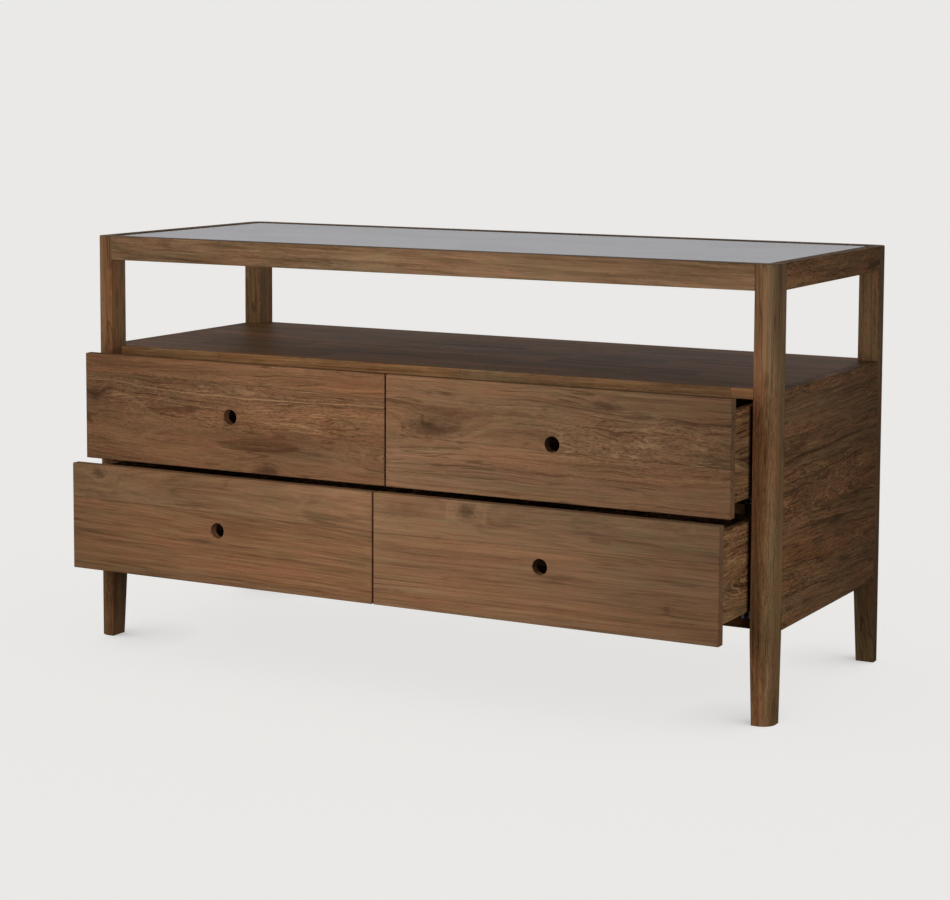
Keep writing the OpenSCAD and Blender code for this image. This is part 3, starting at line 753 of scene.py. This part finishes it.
# Painted light: lighter and greyer than their wood, for less lamp light and the lowered sheen.
SIDE_RAIL_TONE_WITH_PAINTED_LIGHT = {"Light": (0.335, 0.185, 0.093, 1.0), "Dark": (0.067, 0.033, 0.014, 1.0)}
STRAIGHT = {
    "Pith": Vector((0.0, 0.05, -0.16)), "Ring_width": 0.0055, "Wander": 0.008,
    "Figure": 0.55, "Streak": 0.75, "Pale": 0.35,
}


def dress(node_name, material):
    slots = nodes[node_name].data.materials
    slots.clear()
    slots.append(material)


def dress_in_wood(node_name, lies, seed, **look):
    centre = centre_of(node_name)
    dress(node_name, wood_material("wood_" + node_name, lies, centre, seed, **look))


def count_dressed(*names):
    slots = [piece.data.materials[0] for piece in nodes.values() if piece.data.materials]
    return sum(slot.name.startswith(names) for slot in slots)


for number, place in enumerate(("front_left", "front_right", "back_left", "back_right")):
    outward = Vector((0, 1 if "right" in place else -1, 1 if "front" in place else -1))
    dress_in_wood(
        "leg_" + place, "upright", seed=3.1 + number, lean=(0, 0.4, 0.3), Speckle=0.6, Lines=0.8,
        tint=(corner_and_painted_light_group, {"Outward": outward}), **STRAIGHT, **LEG_TONE,
    )

LONG_RAIL = {"lies": "front", "sheen": 0.04, "Lines": 0.4, "Speckle": 0.4, **RAIL_TONE}
SHORT_RAIL = {"lies": "side", "sheen": 0.015, "Lines": 1.0, "Speckle": 1.0, **SIDE_RAIL_TONE_WITH_PAINTED_LIGHT}
for number, place in enumerate(("front", "back", "left", "right")):
    look = LONG_RAIL if place in ("front", "back") else SHORT_RAIL
    dress_in_wood("top_rail_" + place, seed=11.7 + number, lean=(0, 0.5, 0.4), **STRAIGHT, **look)
print("legs and rails dressed:", count_dressed("wood_"))

# %% [markdown]
# ## Panels and boards
# Side panels and back panel are glued from broad staves as long as the panel, the boards from
# narrow staves that are joined end to end. The centre divider is plain. The boards inside the case
# and the divider get a darker tone than the shelf: painted shade, for the little light that reaches
# in there, which also leaves the edge of the mid board dark.

# %% Dress the panels and boards
PANEL_TONE = {"Light": (0.288, 0.146, 0.069, 1.0), "Dark": (0.055, 0.025, 0.01, 1.0)}
EARTH = {"Light": (0.3, 0.147, 0.06, 1.0), "Dark": (0.06, 0.027, 0.009, 1.0)}
# Painted shade: a darker copy of the wood for the boards inside the case.
INSIDE_PAINTED_SHADE = {"Light": (0.17, 0.083, 0.037, 1.0), "Dark": (0.035, 0.016, 0.006, 1.0)}
FIGURED = {
    "Pith": Vector((0.0, 0.0, -0.055)), "Ring_width": 0.0075, "Wander": 0.05,
    "Figure": 0.8, "Streak": 0.8, "Pale": 0.9,
}
WHOLE_LENGTH = 30.0

for number, side in enumerate(("left", "right")):
    staves = {
        "Width": 0.137, "Length": WHOLE_LENGTH, "Seed": 0.1277 + number,
        "First_tint": (1.03, 0.97, 0.91, 1.0), "Other_tint": (0.95, 1.0, 1.03, 1.0),
    }
    dress_in_wood(
        "side_panel_" + side, "side", seed=21.3 + number, lean=(0, 2.5, 0.5), staves=staves,
        sheen=0.04, Lively=0.7, Speckle=1.0, Lines=1.0, Smear=0.8, **FIGURED, **PANEL_TONE,
    )

for number, board in enumerate(("shelf_board", "bottom_board", "mid_board_left", "mid_board_right")):
    staves = {
        "Width": 0.074, "Length": 0.52, "Seed": 0.17 + 0.4 * number,
        "First_tint": (1.15, 1.05, 0.95, 1.0), "Other_tint": (0.78, 0.8, 0.8, 1.0),
    }
    tint, tone = ((lipping_and_painted_light_group, {}), EARTH) if board == "shelf_board" else (None, INSIDE_PAINTED_SHADE)
    dress_in_wood(
        board, "flat", seed=31.9 + number, lean=(0, 0.6, 0.5), staves=staves, sheen=0.068,
        tint=tint, **STRAIGHT, **tone,
    )

dress_in_wood("centre_divider", "side", seed=41.0, **STRAIGHT, **INSIDE_PAINTED_SHADE)
staves = {"Width": 0.13, "Length": WHOLE_LENGTH, "Seed": 0.4}
dress_in_wood("back_panel", "front", seed=43.0, staves=staves, **FIGURED, **EARTH)
print("case pieces dressed:", count_dressed("wood_"))

# %% [markdown]
# ## Drawer fronts
# Each front is glued from two staves with a figure of its own, and the photograph shows where they
# meet. The upper left front is nearly all one warm stave with arches, the others have a greyer
# stave on top. The group knows three staves, so one of its edges lies off the front. Edges, knots
# and the lively part sit where the real ones do, measured in the front's own plane from its centre.
# A knot has a place, a size and how long it is for its width. The lively part has a place, a reach
# each way and how lively the grain stays elsewhere. The lower two fronts are the calmest: nearly
# straight grain with few thin streaks.

# %% Dress the drawer fronts
WARM = {"Light": (0.275, 0.14, 0.07, 1.0), "Dark": (0.068, 0.031, 0.014, 1.0)}
CALM = {"Ring_width": 0.007, "Speckle": 0.3, "Lines": 0.35, "Lively": 0.2, "Bands": 0.4}
BELOW_FRONT, ABOVE_FRONT = -0.3, 0.3

FRONTS = {
    "upper_left": {
        "seed": 51.0, "lean": (0, 1.6, 1.0),
        "knots": (((-0.305, 0.016), 0.009, 1.6), ((0.086, -0.089), 0.012, 2.0)),
        "staves": {
            "Lower_edge": BELOW_FRONT, "Upper_edge": 0.062,
            "Middle_tint": (0.97, 0.97, 1.02, 1.0), "High_tint": (1.05, 1.0, 1.0, 1.0),
        },
        "lively": ((0.0, 0.025), (0.34, 0.06), 0.35),
        "Pith": Vector((0.1, -0.01, -0.05)), "Ring_width": 0.008, "Wander": 0.06, "Figure": 0.5,
        "Streak": 0.62, "Pale": 1.0, "Speckle": 0.75, "Lines": 0.8, "Smear": 0.1, "Bands": 0.45,
    },
    "upper_right": {
        "seed": 57.0, "lean": (0, -2.0, 1.0),
        "knots": (((-0.235, 0.006), 0.014, 3.2), ((0.1, 0.075), 0.007, 4.0)),
        "staves": {
            "Lower_edge": -0.012, "Upper_edge": ABOVE_FRONT,
            "Low_tint": (1.17, 1.24, 1.37, 1.0), "Middle_tint": (1.02, 1.13, 1.25, 1.0),
        },
        "lively": ((0.21, 0.015), (0.22, 0.065), 0.12),
        "Pith": Vector((0.0, 0.02, -0.06)), "Ring_width": 0.008, "Wander": 0.05, "Figure": 0.6,
        "Streak": 0.57, "Pale": 1.0, "Speckle": 0.75, "Lines": 0.8, "Smear": 0.25, "Bands": 0.45,
    },
    "lower_left": {
        "seed": 63.0, "lean": (0, 1.2, 0.6), "knots": (((-0.267, 0.082), 0.008, 1.8),),
        "staves": {
            "Lower_edge": 0.033, "Upper_edge": ABOVE_FRONT,
            "Low_tint": (1.17, 1.19, 1.21, 1.0), "Middle_tint": (1.07, 1.2, 1.3, 1.0),
        },
        "Pith": Vector((0.0, 0.09, -0.12)), "Wander": 0.018, "Figure": 0.55, "Streak": 0.7,
        "Pale": 0.25, **CALM,
    },
    "lower_right": {
        "seed": 71.0, "lean": (0, 0.8, -0.8),
        "knots": (((-0.14, 0.084), 0.011, 1.4), ((0.236, -0.051), 0.005, 1.6)),
        "staves": {
            "Lower_edge": 0.033, "Upper_edge": ABOVE_FRONT,
            "Low_tint": (1.25, 1.32, 1.43, 1.0), "Middle_tint": (1.16, 1.28, 1.42, 1.0),
        },
        "Pith": Vector((0.0, 0.1, -0.12)), "Wander": 0.014, "Figure": 0.5, "Streak": 0.6,
        "Pale": 0.2, **CALM,
    },
}
for drawer, look in FRONTS.items():
    front = drawer + "_front"
    dress_in_wood(front, "front", sheen=0.0, **look, **WARM)
    print(front, "centre", [round(v, 3) for v in centre_of(front)])

# %% [markdown]
# ## Drawer boxes
# The boxes are plainer: rough boards with the same stain, whose grain is coarse, with dark and
# light side by side. Their bottoms are calmer. They could share one material, but each board has
# its own seed, so that no two show the same grain. The dowels of case and boxes are undyed beech.

# %% Dress the drawer boxes and dowels
COARSE = {
    "lean": (0, 2, 3), "bump": 0.5, "Pith": Vector((0.0, -0.02, -0.05)), "Ring_width": 0.009,
    "Wander": 0.03, "Figure": 0.9, "Streak": 1.2, "Pale": 1.0,
    "Speckle": 1.0, "Lines": 1.0, "Lively": 1.0,
}
BOX = {"Light": (0.3, 0.16, 0.076, 1.0), "Dark": (0.05, 0.021, 0.009, 1.0)}
BEECH = {"Light": (0.6, 0.42, 0.26, 1.0), "Dark": (0.4, 0.25, 0.14, 1.0)}

for number, drawer in enumerate(FRONTS):
    dress_in_wood(drawer + "_side_outer", "side", seed=81.0 + number, **COARSE, **BOX)
    dress_in_wood(drawer + "_side_inner", "side", seed=88.0 + number, **COARSE, **BOX)
    dress_in_wood(drawer + "_back", "front", seed=91.0 + number, **COARSE, **BOX)
    dress_in_wood(drawer + "_bottom", "flat", seed=97.0 + number, **STRAIGHT, **BOX)

beech = wood_material("beech_dowels", "front", Vector(), seed=5.0, **STRAIGHT, **BEECH)
for name in ["rail_dowels", "case_dowels"] + [drawer + "_dowels" for drawer in FRONTS]:
    dress(name, beech)
print("wooden pieces dressed:", count_dressed("wood_"), "dowel nodes:", count_dressed("beech_"))

# %% [markdown]
# ## Smoked glass
# The top is one sheet of grey float glass. Light passes it twice before it comes back from below,
# so the sheet looks nearly black from above, and at the low angle of the photograph it mostly
# mirrors the room. A dark glossy sheet would do for the photograph, but only glass lets the frame
# below it show from other sides. So it is a plain glass shader with a faint unevenness in its
# polish. The small pads that it lies on are clear soft plastic, slightly dusty.

# %% Dress the glass and its pads
SMOKE, PALER_SMOKE = (0.14, 0.14, 0.147, 1.0), (0.165, 0.165, 0.172, 1.0)
CLEAR, DUSTY = (0.7, 0.72, 0.73, 1.0), (0.85, 0.86, 0.86, 1.0)

glass, tree, shader = new_material("smoked_glass")
shader.inputs["Transmission Weight"].default_value = 1.0
shader.inputs["IOR"].default_value = 1.5
wipes = noise(tree, object_place(tree), seed=2.0, stretch=(5.0, 9.0, 5.0), detail=3)
feed(tree, shader.inputs["Roughness"], smooth_step(tree, wipes, 0.3, 0.7, 0.06, 0.12))
feed(tree, shader.inputs["Base Color"], mix_colour(tree, wipes, SMOKE, PALER_SMOKE))
dress("glass_top", glass)

pads, tree, shader = new_material("clear_pads")
shader.inputs["IOR"].default_value = 1.45
dust = noise(tree, object_place(tree), seed=4.0, stretch=(300.0, 300.0, 300.0), detail=2)
feed(tree, shader.inputs["Base Color"], mix_colour(tree, dust, CLEAR, DUSTY))
feed(tree, shader.inputs["Roughness"], smooth_step(tree, dust, 0.3, 0.7, 0.25, 0.4))
dress("glass_pads", pads)
print("glass:", [round(v, 3) for v in nodes["glass_top"].dimensions])

# %% [markdown]
# ## Steel runners and screws
# The runners are rolled from zinc-plated strip. Rolling leaves fine lines along them, and the zinc
# has a cloudy, slightly bluish skin with a little grime. The screws have the same skin, nearly
# without the lines.

# %% Shader group: zinc skin
BLUISH_ZINC, PALE_ZINC = (0.5, 0.52, 0.54, 1.0), (0.66, 0.66, 0.64, 1.0)
GRIME = (0.3, 0.28, 0.25, 1.0)
LINE_DEPTH = 0.0002


def make_zinc_group():
    tree, given, wanted = new_group(
        "zinc skin",
        {"Vector": Vector(), "Lines": 1.0},
        {"Color": tuple, "Roughness": float, "Height": float},
    )
    cloud = noise(tree, given["Vector"], seed=7.0, stretch=(60.0, 60.0, 60.0), detail=3)
    lines = noise(tree, given["Vector"], seed=9.0, stretch=(900.0, 6.0, 900.0), detail=3)
    grime = smooth_step(tree, cloud, 0.5, 0.75)
    colour = mix_colour(tree, cloud, BLUISH_ZINC, PALE_ZINC)
    colour = mix_colour(tree, calc(tree, "MULTIPLY", grime, 0.3), colour, GRIME)
    rough = calc(tree, "MULTIPLY_ADD", cloud, 0.25, 0.2)
    feed(tree, wanted["Color"], colour)
    feed(tree, wanted["Roughness"], calc(tree, "MULTIPLY_ADD", lines, 0.12, rough))
    feed(tree, wanted["Height"], calc(tree, "MULTIPLY", lines, given["Lines"]))
    return tree


def zinc_material(name, lines, strength):
    material, tree, shader = new_material(name)
    shader.inputs["Metallic"].default_value = 1.0
    skin = place_group(tree, zinc_group, Vector=object_place(tree), Lines=lines)
    feed(tree, shader.inputs["Base Color"], skin["Color"])
    feed(tree, shader.inputs["Roughness"], skin["Roughness"])
    feed(tree, shader.inputs["Normal"], relief(tree, skin["Height"], strength, LINE_DEPTH))
    return material


zinc_group = make_zinc_group()
runner_steel = zinc_material("runner_steel", 1.0, 0.3)
zinc_screws = zinc_material("zinc_screws", 0.2, 0.1)
for drawer in FRONTS:
    dress(drawer + "_channels", runner_steel)
    dress(drawer + "_sliders", runner_steel)
    dress(drawer + "_slider_screws", zinc_screws)
dress("channel_screws", zinc_screws)
print("steel pieces dressed:", count_dressed(runner_steel.name, zinc_screws.name))

# %% [markdown]
# ## Floor
# The photograph has one even pale grey behind and below the dresser, with only faint shadows. The
# floor is a large sheet: what the camera sees of it is mostly its own even colour, and a smaller
# part is the world's light, so a faint shadow stays under the case. The lamps leave the floor out.
# Each foot darkens the floor's own glow on its inner side, as low light from all round would:
# painted shade. An ambient occlusion node finds that shade: its normal leans away from the middle
# of the floor, so it looks outwards for what stands near.

# %% Lay the floor
PALE_GREY = (0.823, 0.815, 0.799, 1.0)
BOUNCED_GREY = (0.6, 0.595, 0.585, 1.0)
WORLD_LIGHT = 0.18
SHADOW_SHARE = 0.1
FOOT_SHADE_REACH = 0.155
FOOT_SHADE_DEPTH = 0.6
FOOT_SHADE_SAMPLES = 12
UPRIGHT_SHARE = (0.0, 0.0, 0.4)
FLOOR_SIZE = 60


def seen_by_camera(tree):
    ray = tree.nodes.new("ShaderNodeLightPath").outputs
    return calc(tree, "MAXIMUM", ray["Is Camera Ray"], ray["Is Transmission Ray"])


bpy.ops.object.select_all(action="DESELECT")
bpy.ops.mesh.primitive_plane_add(size=FLOOR_SIZE, location=(0, 0, 0))
floor = bpy.context.object
floor.name = "floor"
floor_paint, tree, shader = new_material("floor_paint")
shader.inputs["Roughness"].default_value = 1.0
shader.inputs["Specular IOR Level"].default_value = 0.0
seen = seen_by_camera(tree)
lit_by_world = [channel * SHADOW_SHARE / WORLD_LIGHT for channel in PALE_GREY[:3]]
feed(tree, shader.inputs["Base Color"], mix_colour(tree, seen, BOUNCED_GREY, (*lit_by_world, 1.0)))

foot_shade = tree.nodes.new("ShaderNodeAmbientOcclusion")
foot_shade.samples = FOOT_SHADE_SAMPLES
foot_shade.inputs["Distance"].default_value = FOOT_SHADE_REACH
outwards = vector_calc(tree, "NORMALIZE", object_place(tree))
leaning = vector_calc(tree, "NORMALIZE", vector_calc(tree, "ADD", outwards, UPRIGHT_SHARE))
feed(tree, foot_shade.inputs["Normal"], leaning)
# Painted shade: the floor's glow is darkened where the occlusion node finds a foot nearby.
near_foot = calc(tree, "SUBTRACT", 1.0, foot_shade.outputs["AO"])
own_share = 1 - SHADOW_SHARE
glow_with_painted_shade = calc(tree, "MULTIPLY_ADD", near_foot, -FOOT_SHADE_DEPTH * own_share, own_share)
shader.inputs["Emission Color"].default_value = PALE_GREY
feed(tree, shader.inputs["Emission Strength"], calc(tree, "MULTIPLY", seen, glow_with_painted_shade))
floor.data.materials.append(floor_paint)
print("floor:", [round(v, 1) for v in floor.dimensions])

# %% [markdown]
# ## Background
# A wall behind the dresser would need its own light and would hide the dresser from other sides. So
# the world itself shows the floor's grey to the camera and through glass. It shows a darker grey in
# reflections, and it lights the dresser with much less, so that gaps and the open bay stay dark.

# %% Fill the world
MIRRORED_GREY = (0.51, 0.51, 0.524, 1.0)

world = bpy.data.worlds.new("studio")
bpy.context.scene.world = world
world.use_nodes = True
tree = world.node_tree
tree.nodes.clear()
soft_light = (WORLD_LIGHT, WORLD_LIGHT, WORLD_LIGHT * 1.01, 1.0)
mirrored = tree.nodes.new("ShaderNodeLightPath").outputs["Is Glossy Ray"]
colour = mix_colour(tree, mirrored, soft_light, MIRRORED_GREY)
background = tree.nodes.new("ShaderNodeBackground")
feed(tree, background.inputs["Color"], mix_colour(tree, seen_by_camera(tree), colour, PALE_GREY))
out = tree.nodes.new("ShaderNodeOutputWorld")
tree.links.new(background.outputs[0], out.inputs["Surface"])
print("world:", world.name)

# %% [markdown]
# ## Soft lamps
# Studio lamps are soft: square sheets of light. No lamp shows itself here, neither in a reflection
# nor through the glass, since the photograph shows none. A lamp can also leave pieces out, by a
# collection in which each of them is marked as excluded.


# %% Helpers for lamps
def soft_lamp(name, place, aim, size, power):
    lamp = bpy.data.objects.new(name, bpy.data.lights.new(name, "AREA"))
    lamp.data.shape = "SQUARE"
    lamp.data.size = size
    lamp.data.energy = power
    away = Vector(place) - Vector(aim)
    turned = away.to_track_quat("Z", "Y").to_matrix().to_4x4()
    lamp.matrix_world = Matrix.Translation(place) @ turned
    lamp.visible_camera = False
    lamp.visible_glossy = False
    lamp.visible_transmission = False
    bpy.context.scene.collection.objects.link(lamp)
    return lamp


def leave_out(lamps, pieces):
    kept_out = bpy.data.collections.new("kept_out_of_" + lamps[0].name)
    for piece in pieces:
        kept_out.objects.link(piece)
    for child in kept_out.collection_objects:
        child.light_linking.link_state = "EXCLUDE"
    for lamp in lamps:
        lamp.light_linking.receiver_collection = kept_out


print("lamp helpers ready")

# %% [markdown]
# ## Light
# The fronts are brightest near the middle and fall off to both ends, and each drawer throws a soft
# shadow on the leg beside it. So the key is one large soft lamp straight in front, not far away.
# The right side is about a third as bright and darkens to the back, which asks for a near, low lamp
# at the front right that leaves the fronts alone. A small lamp farther right brightens only the end
# faces of the fronts. Two more lamps stand at the left and behind, for the faces that the
# photograph hides.

# %% Set the lamps
key = soft_lamp("key_lamp", (-0.03, -1.37, 0.6), (-0.03, -0.39, 0.42), 0.85, 11.6)
right_fill = soft_lamp("right_fill", (1.2, -0.6, 0.34), (0.7, -0.08, 0.33), 0.5, 2.4)
end_fill = soft_lamp("end_fill", (1.5, -0.2, 0.45), (0.66, -0.36, 0.4), 0.3, 2.5)
left_fill = soft_lamp("left_fill", (-2.3, -0.3, 0.9), (-0.7, 0.0, 0.4), 1.0, 18.0)
back_fill = soft_lamp("back_fill", (0.1, 2.3, 0.9), (0.0, 0.27, 0.4), 1.0, 18.0)
drawer_fronts = [nodes[drawer + "_front"] for drawer in FRONTS]
leave_out((key, left_fill, back_fill), [floor])
leave_out((right_fill,), [floor, nodes["shelf_board"]] + drawer_fronts)
leave_out((end_fill,), [floor] + [piece for piece in nodes.values() if piece not in drawer_fronts])
bpy.context.scene.view_settings.view_transform = "Standard"
print("lamps:", ", ".join(lamp.name for lamp in (key, right_fill, end_fill, left_fill, back_fill)))
